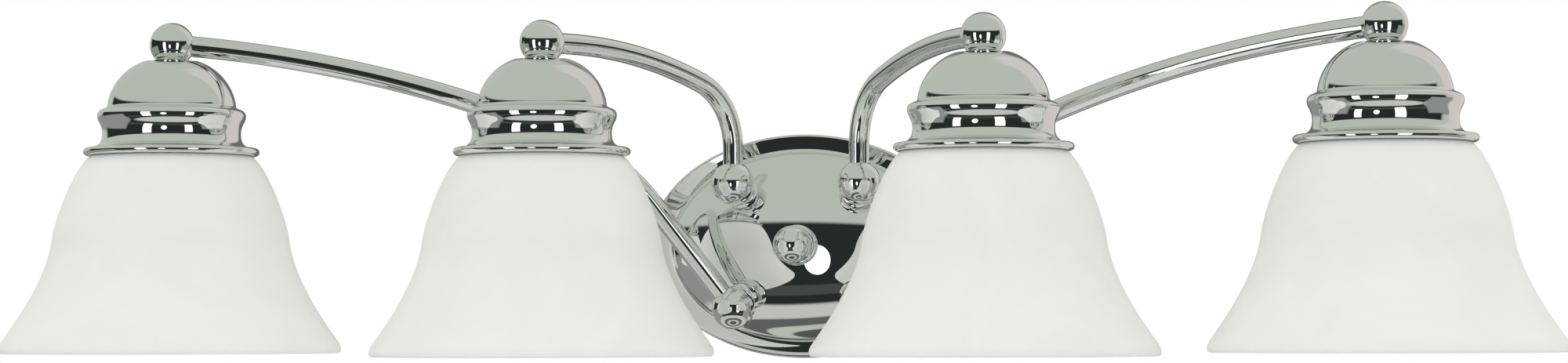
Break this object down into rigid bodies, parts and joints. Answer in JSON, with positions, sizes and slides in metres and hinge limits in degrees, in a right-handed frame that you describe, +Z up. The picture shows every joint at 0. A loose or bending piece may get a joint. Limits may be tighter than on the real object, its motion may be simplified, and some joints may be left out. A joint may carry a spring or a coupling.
{
  "type": "vanity light bar",
  "caption": "Chrome bathroom wall light: an oval canopy carries bent tube arms that end in balls, domed caps and white bell-shaped glass shades facing down.",
  "frame": {"origin": "centre of the oval canopy on the wall plane, midway between the two crossbar slots", "axes": "-Y out of the wall into the room, +Z up, +X to the right for somebody facing the wall"},
  "size_m": [0.737, 0.206, 0.1622],
  "materials": {
    "chrome": "polished",
    "shade_glass": "opaque white alabaster-look glass, satin outside",
    "bulb_glass": "frosted white",
    "bulb_cap": "plain",
    "brass": "plain",
    "zinc_steel": "zinc plated",
    "holder_phenolic": "moulded phenolic",
    "green_paint": "green",
    "nut_plastic": "orange",
    "black_insulation": "insulation",
    "white_insulation": "insulation"
  },
  "bodies": {
    "root": {"lamp_ball_1": "chrome", "lamp_ball_2": "chrome", "lamp_ball_3": "chrome", "lamp_ball_4": "chrome", "cap_1": "chrome", "cap_2": "chrome", "cap_3": "chrome", "cap_4": "chrome", "shade_1": "shade_glass", "shade_2": "shade_glass", "shade_3": "shade_glass", "shade_4": "shade_glass", "socket_1": "holder_phenolic", "socket_2": "holder_phenolic", "socket_3": "holder_phenolic", "socket_4": "holder_phenolic", "screw_shell_1": "brass", "screw_shell_2": "brass", "screw_shell_3": "brass", "screw_shell_4": "brass", "shade_ring_1": "chrome", "shade_ring_2": "chrome", "shade_ring_3": "chrome", "shade_ring_4": "chrome", "bulb_glass_1": "bulb_glass", "bulb_glass_2": "bulb_glass", "bulb_glass_3": "bulb_glass", "bulb_glass_4": "bulb_glass", "bulb_base_1": "bulb_cap", "bulb_base_2": "bulb_cap", "bulb_base_3": "bulb_cap", "bulb_base_4": "bulb_cap", "arm_1": "chrome", "arm_2": "chrome", "arm_3": "chrome", "arm_4": "chrome", "post_ball_1": "chrome", "post_ball_2": "chrome", "post_ball_3": "chrome", "post_ball_4": "chrome", "lamp_seats": "chrome", "lamp_nipples": "brass", "lamp_lock_washers": "zinc_steel", "lamp_lock_nuts": "zinc_steel", "center_contacts": "brass", "post_seats": "chrome", "post_nipples": "brass", "post_lock_washers": "zinc_steel", "post_lock_nuts": "zinc_steel", "canopy": "chrome", "crossbar": "zinc_steel", "center_nipple": "brass", "nipple_nut": "zinc_steel", "finial_ring": "chrome", "finial": "chrome", "ground_screw": "green_paint", "wire_nuts": "nut_plastic", "black_leads": "black_insulation", "white_leads": "white_insulation"}
  },
  "joints": []
}
